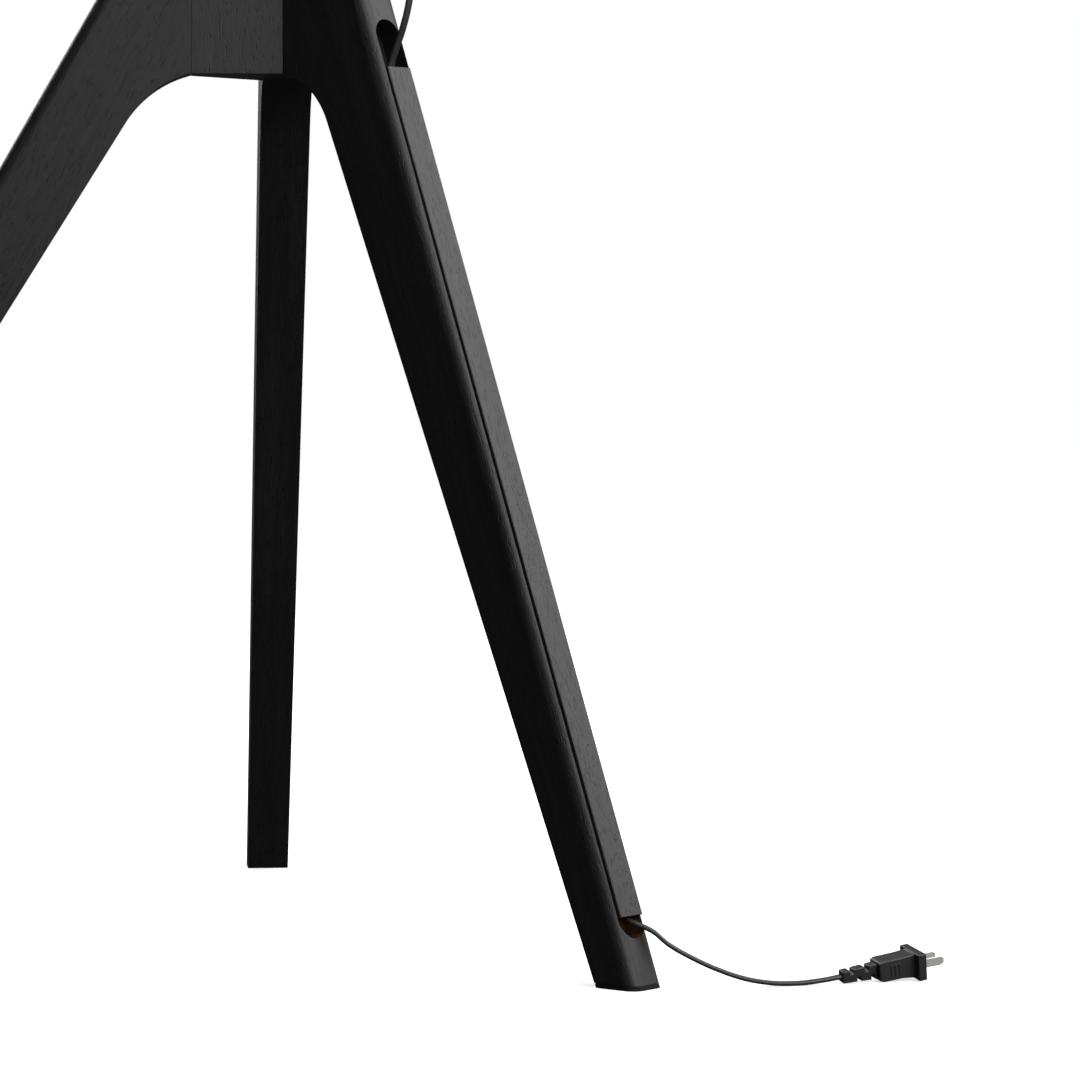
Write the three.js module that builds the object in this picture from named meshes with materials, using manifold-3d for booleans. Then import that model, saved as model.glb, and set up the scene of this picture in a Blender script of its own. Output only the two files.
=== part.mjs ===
// Tripod floor stand for a flat display: a timber hub on three tapered timber legs, a telescoping
// steel mast with a tilting mounting plate, and a power cord that runs in a covered channel down
// the rear leg. Millimetres, +Z up, the floor at z = 0, the front of the stand towards -Y.
// The origin is on the floor under the middle of the stand's own bounding box.
import * as THREE from 'three';
import { mergeVertices } from 'three/addons/utils/BufferGeometryUtils.js';
import Module from 'manifold-3d';

const wasm = await Module();
wasm.setup();

// ---------------------------------------------------------------- driving dimensions
const GAP = 0.3; // clearance between pieces that touch

const HUB_BOTTOM = 646;
const HUB_HEIGHT = 150;
const HUB_TOP = HUB_BOTTOM + HUB_HEIGHT;
const HUB_ARM = 74; // from the legs' meeting line to the end of a front arm

const LEG_THICKNESS = 38; // at the underside of the hub
const LEG_FOOT_THICKNESS = 34.2;
const LEG_EDGE_RADIUS = 10; // rounding of the outer edges
const PAD_THICKNESS = 3.2;

// The reaches are measured from the legs' meeting line at the height of the hub's underside, and
// the splays are how far an edge goes outward for each millimetre that it goes down.
const FRONT_LEG = {
  buttReach: HUB_ARM + GAP,
  innerReach: 100.2,
  innerSplay: 0.627,
  outerReach: 174.3,
  outerSplay: 0.576,
  hollowRadius: 80,
};
const REAR_BUTT = (LEG_THICKNESS / 2) * (Math.SQRT2 - 1);
const REAR_LEG = {
  buttReach: REAR_BUTT + GAP,
  innerReach: 36.3,
  innerSplay: 0.408,
  outerReach: 103.6,
  outerSplay: 0.3584,
  hollowRadius: 60,
};
const FRONT_AZIMUTH = 45; // degrees from straight ahead

const DOWEL_RADIUS = 5;
const DOWEL_HEIGHTS = [24, 66, 108]; // above the hub's underside
const FRONT_DOWEL = { inHub: 25, inLeg: 25 };
const REAR_DOWEL = { inHub: 12, inLeg: 25 };

// Stations are measured up the rear leg's outer edge, from the floor.
const CHANNEL_BOTTOM = 37;
const CHANNEL_TOP = 725.5;
const CHANNEL_WIDTH = 25.6;
const CHANNEL_DEPTH = 18;
const COVER_BOTTOM = 53;
const COVER_TOP = 688;
const COVER_WIDTH = 25;
const COVER_PROUD = 1.6;
const COVER_SKIN = 4.5;
const COVER_WALL = 3.2;
const COVER_DEPTH = 14;
const CLIP_STATIONS = [110, 370, 630];

const CORD_DIAMETER = 6;
const CORD_SIDES = 10;
const CHANNEL_CORD_DEPTH = 11.5;

const MAST_AXIS_Y = -29.575; // from the legs' meeting line; negative is towards the front
const MAST_RADIUS = 19;
const MAST_BORE = 17;
const MAST_SOCKET_DEPTH = 105;
const MAST_TOP = 1040;
const INNER_MAST_RADIUS = 15;
const INNER_MAST_BORE = 13;
const INNER_MAST_BOTTOM = 905;
const INNER_MAST_TOP = 1190;
const GROMMET_HEIGHT = 872;
const KNOB_HEIGHT = 1022;
const TILT_HEIGHT = 1180;
const NOSE_WIDTH = 30;
const TILT_REACH = 40; // from the mast's axis forward to the tilt bolt
const PLATE_REACH = 66; // from the mast's axis forward to the back of the mounting plate
const PLATE_THICKNESS = 3;
const BRACKET_THICKNESS = 3;
const PLATE_ARM_LENGTH = 320;
const PLATE_ARM_WIDTH = 34;
const PLATE_SLOT = { width: 6.6, near: 68, far: 144 }; // along each arm, from the plate's middle

const WOOD = { color: 0x1b1b1c, roughness: 0.55, metalness: 0 };
const RAW_WOOD = { color: 0x9a7448, roughness: 0.8, metalness: 0 };
const RUBBER = { color: 0x0d0d0d, roughness: 0.9, metalness: 0 };
const BLACK_STEEL = { color: 0x191a1b, roughness: 0.45, metalness: 0.6 };
const BARE_STEEL = { color: 0xb7b9bb, roughness: 0.3, metalness: 1 };
const BLACK_PLASTIC = { color: 0x151516, roughness: 0.6, metalness: 0 };
const NYLON = { color: 0xd9d6cc, roughness: 0.6, metalness: 0 };
const CORD_PVC = { color: 0x1a1a1b, roughness: 0.5, metalness: 0 };
const NICKEL = { color: 0xd8d3c6, roughness: 0.25, metalness: 1 };

// ---------------------------------------------------------------- solids
function solid(geometry) {
  const bare = geometry.clone();
  bare.deleteAttribute('normal');
  bare.deleteAttribute('uv');
  const merged = mergeVertices(bare, 1e-4);
  return new wasm.Manifold(new wasm.Mesh({
    numProp: 3,
    vertProperties: new Float32Array(merged.attributes.position.array),
    triVerts: new Uint32Array(merged.index.array),
  }));
}

function geometryOf(manifold) {
  const mesh = manifold.getMesh();
  const geometry = new THREE.BufferGeometry();
  geometry.setAttribute('position', new THREE.BufferAttribute(new Float32Array(mesh.vertProperties), 3));
  geometry.setIndex(new THREE.BufferAttribute(new Uint32Array(mesh.triVerts), 1));
  return geometry;
}

function cut(base, tools) {
  return geometryOf(tools.reduce((rest, tool) => rest.subtract(solid(tool)), solid(base)));
}

function join(pieces) {
  return geometryOf(pieces.map(solid).reduce((whole, piece) => whole.add(piece)));
}

function common(first, second) {
  return geometryOf(solid(first).intersect(solid(second)));
}

function addPart(parent, name, geometry, finish) {
  const mesh = new THREE.Mesh(geometry, new THREE.MeshStandardMaterial(finish));
  mesh.name = name;
  parent.add(mesh);
  return mesh;
}

function extrude(shape, depth, segments = 8) {
  return new THREE.ExtrudeGeometry(shape, { depth, bevelEnabled: false, curveSegments: segments });
}

// A round bar along Z from z = bottom to z = top.
function bar(radius, bottom, top, sides = 32) {
  const geometry = new THREE.CylinderGeometry(radius, radius, top - bottom, sides);
  return geometry.rotateX(Math.PI / 2).translate(0, 0, (bottom + top) / 2);
}

// A round bar along X from x = start to x = end.
function crossBar(radius, start, end, sides = 24) {
  return bar(radius, start, end, sides).rotateY(Math.PI / 2);
}

function tube(outer, inner, bottom, top, sides = 32) {
  return cut(bar(outer, bottom, top, sides), [bar(inner, bottom - 1, top + 1, sides)]);
}

// A solid of revolution about Z from [radius, height] corners that start and end on the axis.
function turned(corners, sides = 24) {
  const profile = corners.map(([radius, height]) => new THREE.Vector2(radius, height));
  return new THREE.LatheGeometry(profile, sides).rotateX(Math.PI / 2);
}

function block(sizeX, sizeY, sizeZ, x, y, z) {
  return new THREE.BoxGeometry(sizeX, sizeY, sizeZ).translate(x, y, z);
}

// ---------------------------------------------------------------- legs
// A leg is drawn pointing along +X: x is the distance out from the meeting line, z the height.
function innerEdge(leg, height) {
  return leg.innerReach + leg.innerSplay * (HUB_BOTTOM - height);
}

function outerEdge(leg, height) {
  return leg.outerReach + leg.outerSplay * (HUB_BOTTOM - height);
}

// The side outline, with a hollow curve that runs from the hub's underside into the inner edge.
function legOutline(leg, bottom) {
  const radius = leg.hollowRadius;
  const slant = Math.hypot(1, leg.innerSplay);
  const run = innerEdge(leg, HUB_BOTTOM) - leg.buttReach;
  const away = run / slant; // how far the curve's upper end is from the inner edge's line
  const along = Math.sqrt(2 * radius * away - away * away) - (run * leg.innerSplay) / slant;
  const centre = new THREE.Vector2(
    innerEdge(leg, HUB_BOTTOM) + (along * leg.innerSplay - radius) / slant,
    HUB_BOTTOM - (along + radius * leg.innerSplay) / slant,
  );
  const first = Math.atan2(HUB_BOTTOM - centre.y, leg.buttReach - centre.x);
  const last = Math.atan(leg.innerSplay);
  const shape = new THREE.Shape();
  shape.moveTo(innerEdge(leg, bottom), bottom);
  shape.lineTo(outerEdge(leg, bottom), bottom);
  shape.lineTo(outerEdge(leg, HUB_TOP), HUB_TOP);
  shape.lineTo(leg.buttReach, HUB_TOP);
  shape.absarc(centre.x, centre.y, radius, first, last, true);
  return shape;
}

function padOutline(leg) {
  const top = PAD_THICKNESS;
  const shape = new THREE.Shape();
  shape.moveTo(innerEdge(leg, 0), 0);
  shape.lineTo(outerEdge(leg, 0), 0);
  shape.lineTo(outerEdge(leg, top), top);
  shape.lineTo(innerEdge(leg, top), top);
  return shape;
}

function plank(outline) {
  const width = LEG_THICKNESS * 1.5;
  return extrude(outline, width, 16).rotateX(Math.PI / 2).translate(0, width / 2, 0);
}

// Puts a geometry drawn against the leg's outer edge (x outward from the edge, y across the leg,
// z up along it from the floor) into the leg's own axes.
function alongOuterEdge(geometry, leg) {
  const up = new THREE.Vector3(-leg.outerSplay, 0, 1).normalize();
  const across = new THREE.Vector3(0, 1, 0);
  const outward = new THREE.Vector3().crossVectors(across, up);
  const frame = new THREE.Matrix4().makeBasis(outward, across, up);
  frame.setPosition(outerEdge(leg, 0), 0, 0);
  return geometry.applyMatrix4(frame);
}

// A long bar with the leg's cross-section: square inside, rounded outside, thinner at the foot.
function sectionBar(leg) {
  const half = LEG_THICKNESS / 2;
  const depth = 190;
  const overrun = 80;
  const radius = LEG_EDGE_RADIUS;
  const shape = new THREE.Shape();
  shape.moveTo(-depth, -half);
  shape.lineTo(-radius, -half);
  shape.absarc(-radius, -half + radius, radius, -Math.PI / 2, 0, false);
  shape.absarc(-radius, half - radius, radius, 0, Math.PI / 2, false);
  shape.lineTo(-depth, half);
  const length = HUB_TOP * Math.hypot(1, leg.outerSplay) + 2 * overrun;
  const geometry = alongOuterEdge(extrude(shape, length, 6).translate(0, 0, -overrun), leg);
  const position = geometry.attributes.position;
  const slimming = 1 - LEG_FOOT_THICKNESS / LEG_THICKNESS;
  for (let i = 0; i < position.count; i += 1) {
    const drop = (HUB_BOTTOM - position.getZ(i)) / HUB_BOTTOM;
    position.setY(i, position.getY(i) * (1 - slimming * drop));
  }
  return geometry;
}

function dowelHoles(leg, depth) {
  const start = leg.buttReach - 5;
  const end = leg.buttReach + depth;
  return DOWEL_HEIGHTS.map((height) => crossBar(DOWEL_RADIUS + GAP, start, end, 16)
    .translate(0, 0, HUB_BOTTOM + height));
}

// A bar with round ends that lies against the outer edge, from one station to another.
function stadiumBar(width, bottom, top, inward, outward) {
  const half = width / 2;
  const shape = new THREE.Shape();
  shape.absarc(bottom + half, 0, half, Math.PI / 2, Math.PI * 1.5, false);
  shape.absarc(top - half, 0, half, -Math.PI / 2, Math.PI / 2, false);
  const turn = new THREE.Matrix4().makeBasis(
    new THREE.Vector3(0, 0, 1),
    new THREE.Vector3(0, -1, 0),
    new THREE.Vector3(1, 0, 0),
  );
  return extrude(shape, inward + outward, 12).applyMatrix4(turn).translate(-inward, 0, 0);
}

function frontLegGeometry() {
  const blank = common(plank(legOutline(FRONT_LEG, PAD_THICKNESS + GAP)), sectionBar(FRONT_LEG));
  return cut(blank, dowelHoles(FRONT_LEG, FRONT_DOWEL.inLeg));
}

function rearLegGeometry() {
  const blank = common(plank(legOutline(REAR_LEG, PAD_THICKNESS + GAP)), sectionBar(REAR_LEG));
  const channel = stadiumBar(CHANNEL_WIDTH, CHANNEL_BOTTOM, CHANNEL_TOP, CHANNEL_DEPTH, 20);
  const screwHole = crossBar(1.6, -CHANNEL_DEPTH - 11, -CHANNEL_DEPTH + 1, 12);
  const screwHoles = CLIP_STATIONS.map((station) => screwHole.clone().translate(0, 0, station));
  const tools = [channel, ...screwHoles].map((tool) => alongOuterEdge(tool, REAR_LEG));
  return cut(blank, [...tools, ...dowelHoles(REAR_LEG, REAR_DOWEL.inLeg)]);
}

function addLeg(parent, name, leg, azimuth, geometry, dowel) {
  const mount = new THREE.Group();
  mount.rotation.z = THREE.MathUtils.degToRad(azimuth);
  parent.add(mount);
  addPart(mount, `${name}_leg`, geometry, WOOD);
  addPart(mount, `${name}_foot_pad`, common(plank(padOutline(leg)), sectionBar(leg)), RUBBER);
  DOWEL_HEIGHTS.forEach((height, i) => {
    const start = leg.buttReach - GAP - dowel.inHub + 0.5;
    const pin = crossBar(DOWEL_RADIUS, start, leg.buttReach + dowel.inLeg - 0.5, 16);
    addPart(mount, `${name}_dowel_${i + 1}`, pin.translate(0, 0, HUB_BOTTOM + height), RAW_WOOD);
  });
  return mount;
}

// ---------------------------------------------------------------- channel cover
// A U-shaped strip, open towards the leg, with eased outer edges.
function coverGeometry() {
  const half = COVER_WIDTH / 2;
  const inside = half - COVER_WALL;
  const ease = 0.8;
  const shape = new THREE.Shape();
  shape.moveTo(COVER_PROUD, -half + ease);
  shape.lineTo(COVER_PROUD, half - ease);
  shape.lineTo(COVER_PROUD - ease, half);
  shape.lineTo(COVER_PROUD - COVER_DEPTH, half);
  shape.lineTo(COVER_PROUD - COVER_DEPTH, inside);
  shape.lineTo(COVER_PROUD - COVER_SKIN, inside);
  shape.lineTo(COVER_PROUD - COVER_SKIN, -inside);
  shape.lineTo(COVER_PROUD - COVER_DEPTH, -inside);
  shape.lineTo(COVER_PROUD - COVER_DEPTH, -half);
  shape.lineTo(COVER_PROUD - ease, -half);
  return extrude(shape, COVER_TOP - COVER_BOTTOM).translate(0, 0, COVER_BOTTOM);
}

// A spring clip screwed to the floor of the channel, which grips the cover's walls from inside.
function clipGeometry(station) {
  const floor = -CHANNEL_DEPTH + GAP;
  const half = COVER_WIDTH / 2 - COVER_WALL - GAP;
  const thickness = 1;
  const height = 9;
  const length = 14;
  const outer = block(height, 2 * half, length, floor + height / 2, 0, station);
  const gripWidth = 2 * half - 2 * thickness;
  const hollow = block(height, gripWidth, length + 2, floor + height / 2 + thickness, 0, station);
  return cut(outer, [hollow, crossBar(1.8, floor - 1, floor + 3, 12).translate(0, 0, station)]);
}

function clipScrewGeometry(station) {
  const seat = -CHANNEL_DEPTH + GAP + 1 + GAP;
  const screw = turned([[0, -10], [1.3, -8.5], [1.3, 0], [2.9, 0], [2.9, 0.9], [1.8, 1.3], [0, 1.3]], 12);
  return screw.rotateY(Math.PI / 2).translate(seat, 0, station);
}

function addChannelParts(legMount) {
  addPart(legMount, 'cable_cover', alongOuterEdge(coverGeometry(), REAR_LEG), WOOD);
  CLIP_STATIONS.forEach((station, i) => {
    const clip = alongOuterEdge(clipGeometry(station), REAR_LEG);
    const screw = alongOuterEdge(clipScrewGeometry(station), REAR_LEG);
    addPart(legMount, `cover_clip_${i + 1}`, clip, BARE_STEEL);
    addPart(legMount, `cover_clip_screw_${i + 1}`, screw, BARE_STEEL);
  });
}

// ---------------------------------------------------------------- hub
// Seen from above the hub is an arrowhead: two front arms and a rear face, each as wide as a leg.
function hubOutline() {
  const turn = THREE.MathUtils.degToRad(FRONT_AZIMUTH);
  const ahead = new THREE.Vector2(Math.sin(turn), -Math.cos(turn)).multiplyScalar(HUB_ARM);
  const aside = new THREE.Vector2(Math.cos(turn), Math.sin(turn)).multiplyScalar(LEG_THICKNESS / 2);
  const shape = new THREE.Shape();
  shape.moveTo(LEG_THICKNESS / 2, REAR_BUTT);
  shape.lineTo(-LEG_THICKNESS / 2, REAR_BUTT);
  shape.lineTo(-ahead.x - aside.x, ahead.y + aside.y);
  shape.lineTo(-ahead.x + aside.x, ahead.y - aside.y);
  shape.lineTo(ahead.x - aside.x, ahead.y - aside.y);
  shape.lineTo(ahead.x + aside.x, ahead.y + aside.y);
  return shape;
}

function flangeScrewPlaces() {
  const radius = 26.5;
  return [45, 135, 225, 315].map((degrees) => {
    const turn = THREE.MathUtils.degToRad(degrees);
    return [radius * Math.cos(turn), MAST_AXIS_Y + radius * Math.sin(turn)];
  });
}

function hubGeometry() {
  const body = extrude(hubOutline(), HUB_HEIGHT).translate(0, 0, HUB_BOTTOM);
  const socket = bar(MAST_RADIUS + GAP, HUB_TOP - MAST_SOCKET_DEPTH, HUB_TOP + 1)
    .translate(0, MAST_AXIS_Y, 0);
  const pilotHole = bar(2.2, HUB_TOP - 26, HUB_TOP + 1, 12);
  const screwHoles = flangeScrewPlaces().map(([x, y]) => pilotHole.clone().translate(x, y, 0));
  const dowels = [];
  DOWEL_HEIGHTS.forEach((height) => {
    const front = crossBar(DOWEL_RADIUS + GAP, HUB_ARM - FRONT_DOWEL.inHub, HUB_ARM + 5, 16);
    const rear = crossBar(DOWEL_RADIUS + GAP, REAR_BUTT - REAR_DOWEL.inHub, REAR_BUTT + 5, 16);
    const lift = HUB_BOTTOM + height;
    const turn = THREE.MathUtils.degToRad(FRONT_AZIMUTH - 90);
    dowels.push(front.clone().rotateZ(turn).translate(0, 0, lift));
    dowels.push(front.clone().rotateZ(Math.PI - turn).translate(0, 0, lift));
    dowels.push(rear.rotateZ(Math.PI / 2).translate(0, 0, lift));
  });
  return cut(body, [socket, ...screwHoles, ...dowels]);
}

// ---------------------------------------------------------------- mast
function addMastBase(parent) {
  const bottom = HUB_TOP + GAP;
  const thickness = 4;
  const holes = flangeScrewPlaces().map(([x, y]) => bar(2.4, bottom - 1, bottom + 6, 12)
    .translate(x, y - MAST_AXIS_Y, 0));
  const opening = bar(MAST_RADIUS + GAP, bottom - 1, bottom + 6);
  const ring = cut(bar(33, bottom, bottom + thickness, 36), [opening, ...holes]);
  addPart(parent, 'mast_flange', ring, BLACK_STEEL);
  flangeScrewPlaces().forEach(([x, y], i) => {
    const seat = bottom + thickness + GAP;
    const screw = turned([[0, -24], [1.9, -21], [1.9, 0], [4, 0], [4, 1], [2.6, 2.4], [0, 2.4]], 12);
    addPart(parent, `mast_flange_screw_${i + 1}`, screw.translate(x, y - MAST_AXIS_Y, seat), BARE_STEEL);
  });
}

function outerMastGeometry() {
  const body = tube(MAST_RADIUS, MAST_BORE, HUB_TOP - MAST_SOCKET_DEPTH + GAP, MAST_TOP);
  const cordHole = bar(5.6, 5, 30, 24).rotateX(-Math.PI / 2).translate(0, 0, GROMMET_HEIGHT);
  const clampHole = crossBar(4.6, 5, 30).translate(0, 0, KNOB_HEIGHT);
  return cut(body, [cordHole, clampHole]);
}

// A rubber bush with a flange outside the tube, around the cord.
function grommetGeometry() {
  const neck = bar(5.3, MAST_BORE - 1.5, MAST_RADIUS + 1, 24);
  const flange = bar(9, MAST_RADIUS - 3, MAST_RADIUS + 3, 24);
  const skin = bar(MAST_RADIUS + GAP, -20, 20).rotateX(-Math.PI / 2);
  const head = cut(flange, [skin]);
  const whole = cut(join([neck, head]), [bar(CORD_DIAMETER / 2 + GAP, 0, 40, 20)]);
  return whole.rotateX(-Math.PI / 2).translate(0, 0, GROMMET_HEIGHT);
}

function collarGeometry() {
  const bottom = MAST_TOP - 32;
  const top = MAST_TOP + 9;
  const body = join([
    bar(26, bottom, top, 36),
    crossBar(11, 10, 36).translate(0, 0, KNOB_HEIGHT),
  ]);
  return cut(body, [
    bar(MAST_RADIUS + GAP, bottom - 1, MAST_TOP + GAP),
    bar(INNER_MAST_RADIUS + GAP, bottom, top + 1),
    crossBar(4.4, 5, 40).translate(0, 0, KNOB_HEIGHT),
  ]);
}

function guideBushGeometry() {
  const body = tube(MAST_BORE - GAP, INNER_MAST_RADIUS + GAP, MAST_TOP - 36, MAST_TOP - 0.5);
  return cut(body, [crossBar(4.6, 5, 30).translate(0, 0, KNOB_HEIGHT)]);
}

// A star knob moulded onto the end of its clamping screw.
function clampKnobGeometry() {
  const lobes = 6;
  const reach = 40;
  const depth = 16;
  const lobePieces = [];
  for (let i = 0; i < lobes; i += 1) {
    const turn = (i / lobes) * Math.PI * 2;
    lobePieces.push(bar(6.5, 0, depth, 10).translate(12 * Math.cos(turn), 12 * Math.sin(turn), 0));
  }
  const head = join([bar(13.5, 0, depth, 24), bar(8, -3.5, 1, 20), ...lobePieces]);
  return head.rotateY(Math.PI / 2).translate(reach, 0, KNOB_HEIGHT);
}

function clampScrewGeometry() {
  return crossBar(4, INNER_MAST_RADIUS + GAP, 36.2).translate(0, 0, KNOB_HEIGHT);
}

// A plug with a hole through it, in the bottom end of the inner tube, that slides in the outer one.
function footBushGeometry() {
  const bottom = INNER_MAST_BOTTOM - 12;
  const body = join([
    bar(MAST_BORE - GAP, bottom, INNER_MAST_BOTTOM - GAP),
    bar(INNER_MAST_BORE - GAP, bottom, INNER_MAST_BOTTOM + 14),
  ]);
  return cut(body, [bar(8, bottom - 1, INNER_MAST_BOTTOM + 15, 24)]);
}

function addMast(parent) {
  addPart(parent, 'outer_mast_tube', outerMastGeometry(), BLACK_STEEL);
  addPart(parent, 'cord_grommet', grommetGeometry(), RUBBER);
  addPart(parent, 'mast_collar', collarGeometry(), BLACK_PLASTIC);
  addPart(parent, 'mast_guide_bush', guideBushGeometry(), NYLON);
  addPart(parent, 'clamp_knob', clampKnobGeometry(), BLACK_PLASTIC);
  addPart(parent, 'clamp_screw', clampScrewGeometry(), BARE_STEEL);
  const innerTube = tube(INNER_MAST_RADIUS, INNER_MAST_BORE, INNER_MAST_BOTTOM, INNER_MAST_TOP);
  addPart(parent, 'inner_mast_tube', innerTube, BARE_STEEL);
  addPart(parent, 'inner_mast_foot_bush', footBushGeometry(), NYLON);
}

// ---------------------------------------------------------------- head and mounting plate
function headGeometry() {
  const cap = bar(22, INNER_MAST_TOP - 30, INNER_MAST_TOP + 8);
  const lug = block(NOSE_WIDTH, TILT_REACH, 26, 0, -TILT_REACH / 2, TILT_HEIGHT);
  const nose = crossBar(13, -NOSE_WIDTH / 2, NOSE_WIDTH / 2).translate(0, -TILT_REACH, TILT_HEIGHT);
  return cut(join([cap, lug, nose]), [
    bar(INNER_MAST_RADIUS + GAP, INNER_MAST_TOP - 31, INNER_MAST_TOP + GAP),
    crossBar(4.3, -20, 20).translate(0, -TILT_REACH, TILT_HEIGHT),
  ]);
}

// The tilt bracket: a pressed channel with two cheeks that hold the head's nose.
function tiltBracketGeometry() {
  const cheek = BRACKET_THICKNESS;
  const inside = NOSE_WIDTH / 2 + GAP;
  const front = -PLATE_REACH + GAP;
  const web = block(2 * (inside + cheek), cheek, 70, 0, front + cheek / 2, TILT_HEIGHT);
  const depth = PLATE_REACH - TILT_REACH + 12;
  const side = block(cheek, depth, 34, inside + cheek / 2, front + depth / 2, TILT_HEIGHT);
  return cut(join([web, side, side.clone().translate(-2 * inside - cheek, 0, 0)]), [
    crossBar(4.3, -25, 25).translate(0, -TILT_REACH, TILT_HEIGHT),
    ...rivetPlaces().map(([x, z]) => rivetHole(x, z)),
  ]);
}

function rivetPlaces() {
  const places = [];
  [-9, 9].forEach((x) => [-27, 27].forEach((dz) => places.push([x, TILT_HEIGHT + dz])));
  return places;
}

function rivetHole(x, z) {
  return bar(2.3, PLATE_REACH - 8, PLATE_REACH + 8, 12).rotateX(Math.PI / 2).translate(x, 0, z);
}

// The mounting plate: four arms with a slot each, for fixing holes 100 to 200 mm apart.
function plateGeometry() {
  const arm = slotOutline(PLATE_ARM_WIDTH, -PLATE_ARM_LENGTH / 2, PLATE_ARM_LENGTH / 2);
  const slot = slotOutline(PLATE_SLOT.width, PLATE_SLOT.near, PLATE_SLOT.far);
  const middle = 84;
  const arms = [45, 135].map((degrees) => turnedPlate(arm, PLATE_THICKNESS, 0, degrees));
  const slots = [45, 135, 225, 315].map((degrees) => turnedPlate(slot, PLATE_THICKNESS + 4, -2, degrees));
  const square = block(middle, middle, PLATE_THICKNESS, 0, 0, PLATE_THICKNESS / 2);
  const blank = cut(join([...arms, square]), slots);
  const upright = blank.rotateX(Math.PI / 2).translate(0, -PLATE_REACH, TILT_HEIGHT);
  return cut(upright, rivetPlaces().map(([x, z]) => countersunkHole(x, z)));
}

// An outline with round ends along X.
function slotOutline(width, start, end) {
  const half = width / 2;
  const shape = new THREE.Shape();
  shape.absarc(start + half, 0, half, Math.PI / 2, Math.PI * 1.5, false);
  shape.absarc(end - half, 0, half, -Math.PI / 2, Math.PI / 2, false);
  return shape;
}

function turnedPlate(shape, thickness, bottom, degrees) {
  return extrude(shape, thickness, 5).translate(0, 0, bottom).rotateZ(THREE.MathUtils.degToRad(degrees));
}

function countersunkHole(x, z) {
  const front = PLATE_REACH + PLATE_THICKNESS;
  const sink = turned([[0, -9], [2.3, -9], [2.3, -1.9], [4.2, 0], [4.2, 1], [0, 1]], 14);
  return sink.rotateX(Math.PI / 2).translate(x, -front, z);
}

function addHead(parent) {
  addPart(parent, 'swivel_head', headGeometry(), BLACK_STEEL);
  const boltEnd = NOSE_WIDTH / 2 + BRACKET_THICKNESS + 2 * GAP;
  const headTop = boltEnd + 5;
  const tip = -boltEnd - 8;
  const bolt = turned([[0, tip], [4, tip], [4, boltEnd], [6.8, boltEnd], [6.8, headTop], [0, headTop]]);
  bolt.rotateY(Math.PI / 2).translate(0, -TILT_REACH, TILT_HEIGHT);
  addPart(parent, 'tilt_bolt', bolt, BARE_STEEL);
  const nut = cut(crossBar(7, -boltEnd - 6.5, -boltEnd, 6), [crossBar(4.3, -boltEnd - 10, -boltEnd + 2)]);
  addPart(parent, 'tilt_nut', nut.translate(0, -TILT_REACH, TILT_HEIGHT), BARE_STEEL);
  addPart(parent, 'tilt_bracket', tiltBracketGeometry(), BLACK_STEEL);
  addPart(parent, 'mounting_plate', plateGeometry(), BLACK_STEEL);
  rivetPlaces().forEach(([x, z], i) => {
    const shank = PLATE_THICKNESS + BRACKET_THICKNESS + 2 * GAP;
    const tail = shank + 1.4;
    const profile = [[0, 0.2], [3.7, 0.2], [2, 1.9], [2, shank], [3.6, shank], [3, tail], [0, tail]];
    const rivet = turned(profile, 14);
    const placed = rivet.rotateX(-Math.PI / 2).translate(x, -PLATE_REACH - PLATE_THICKNESS, z);
    addPart(parent, `bracket_rivet_${i + 1}`, placed, BARE_STEEL);
  });
}

// ---------------------------------------------------------------- power cord
// A point of the rear leg's channel: its station, its height over the outer edge, and its x.
function channelPoint(station, lift, x) {
  const up = new THREE.Vector3(0, -REAR_LEG.outerSplay, 1).normalize();
  const outward = new THREE.Vector3(0, 1, REAR_LEG.outerSplay).normalize();
  const start = new THREE.Vector3(x, outerEdge(REAR_LEG, 0), 0);
  return start.addScaledVector(up, station).addScaledVector(outward, lift);
}

const PLUG_START = new THREE.Vector3(-108, 419.7, 4.9);
const PLUG_TURN = THREE.MathUtils.degToRad(151.5);
const PLUG_RISE = THREE.MathUtils.degToRad(7.1);
const PLUG_ROLL = THREE.MathUtils.degToRad(8); // it lies on one corner of its flange
const PLUG_DIRECTION = new THREE.Vector3(
  Math.cos(PLUG_TURN) * Math.cos(PLUG_RISE),
  Math.sin(PLUG_TURN) * Math.cos(PLUG_RISE),
  Math.sin(PLUG_RISE),
);

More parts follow.
